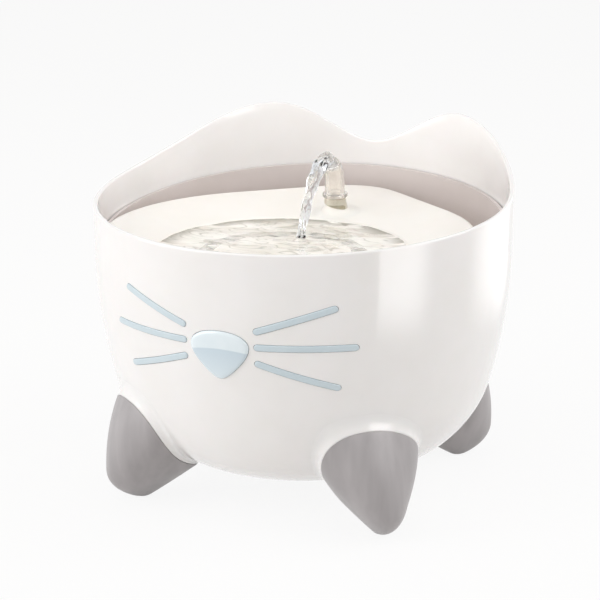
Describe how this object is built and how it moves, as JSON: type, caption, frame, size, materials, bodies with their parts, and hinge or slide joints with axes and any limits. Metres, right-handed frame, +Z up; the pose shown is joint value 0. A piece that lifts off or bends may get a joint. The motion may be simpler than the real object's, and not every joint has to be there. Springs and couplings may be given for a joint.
{
  "type": "pet water fountain",
  "caption": "Round pet water fountain with an ear-shaped rim, splayed feet, lift-off drinking top, turning spout nozzle, filter and submersible pump.",
  "frame": {"origin": "on the floor, under the middle of the bowl", "axes": "+Z up, the face looks along -Y, +X is the viewer's right when looking at the face"},
  "size_m": [0.225, 0.226, 0.1919],
  "materials": {
    "shell_white": "gloss",
    "tank_taupe": "satin",
    "foot_grey": "matte",
    "top_cream": "satin",
    "window_blue": "satin",
    "clear_plastic": "satin",
    "hood_white": "satin",
    "black_plastic": "satin",
    "screw_steel": "satin",
    "core_steel": "matte",
    "coil_copper": "gloss",
    "magnet_dark": "matte",
    "shaft_ceramic": "gloss",
    "grey_rubber": "matte",
    "lead_rubber": "matte",
    "board_green": "satin",
    "lamp_yellow": "gloss",
    "foam_blue": "matte",
    "carbon_black": "matte"
  },
  "bodies": {
    "base": {"outer_shell": "shell_white", "inner_tank": "tank_taupe", "foot_cap_front_left": "foot_grey", "foot_cap_front_right": "foot_grey", "foot_cap_rear_right": "foot_grey", "foot_cap_rear_left": "foot_grey", "foot_screws": "screw_steel", "tank_screws": "screw_steel", "nose_window": "window_blue", "whisker_windows": "window_blue", "light_guide": "clear_plastic", "light_housing": "hood_white", "light_housing_screws": "screw_steel", "light_board": "board_green", "light_lamps": "lamp_yellow", "power_socket": "black_plastic", "socket_nut": "screw_steel", "light_lead": "lead_rubber", "pump_lead": "lead_rubber", "lead_grommet": "grey_rubber", "riser_seal": "grey_rubber", "pump_body": "black_plastic", "pump_end_cap": "black_plastic", "stator_core": "core_steel", "stator_coil": "coil_copper", "impeller_shaft": "shaft_ceramic", "rear_bush": "grey_rubber", "suction_cups": "grey_rubber"},
    "top": {"drinking_top": "top_cream", "riser_tube": "clear_plastic"},
    "nozzle_body": {"nozzle": "clear_plastic", "nozzle_seal": "grey_rubber"},
    "cover": {"pump_cover": "black_plastic", "front_bush": "grey_rubber"},
    "knob": {"flow_knob": "foot_grey"},
    "rotor": {"impeller": "hood_white", "rotor_magnet": "magnet_dark"},
    "hood": {"pump_hood": "hood_white"},
    "filter": {"filter_frame": "hood_white", "filter_foam": "foam_blue", "filter_carbon": "carbon_black"}
  },
  "joints": [
    {"name": "top_lift", "type": "slide", "parent": "base", "child": "top", "axis": [0, 0, 1], "range_m": [0, 0.13]},
    {"name": "nozzle_turn", "type": "hinge", "parent": "top", "child": "nozzle_body", "pos_m": [0, 0.048, 0.149], "axis": [0, -0.0872, 0.9962], "range_deg": [-45, 45]},
    {"name": "hood_lift", "type": "slide", "parent": "base", "child": "hood", "axis": [0, 0, 1], "range_m": [0, 0.04]},
    {"name": "filter_lift", "type": "slide", "parent": "hood", "child": "filter", "axis": [0, 0, 1], "range_m": [0, 0.04]},
    {"name": "cover_pull", "type": "slide", "parent": "base", "child": "cover", "axis": [1, 0, 0], "range_m": [0, 0.018]},
    {"name": "knob_turn", "type": "hinge", "parent": "cover", "child": "knob", "pos_m": [0, 0.044, 0.0548], "axis": [1, 0, 0], "range_deg": [0, 45]},
    {"name": "impeller_spin", "type": "hinge", "parent": "base", "child": "rotor", "pos_m": [0, 0.044, 0.0548], "axis": [1, 0, 0], "continuous": true}
  ]
}
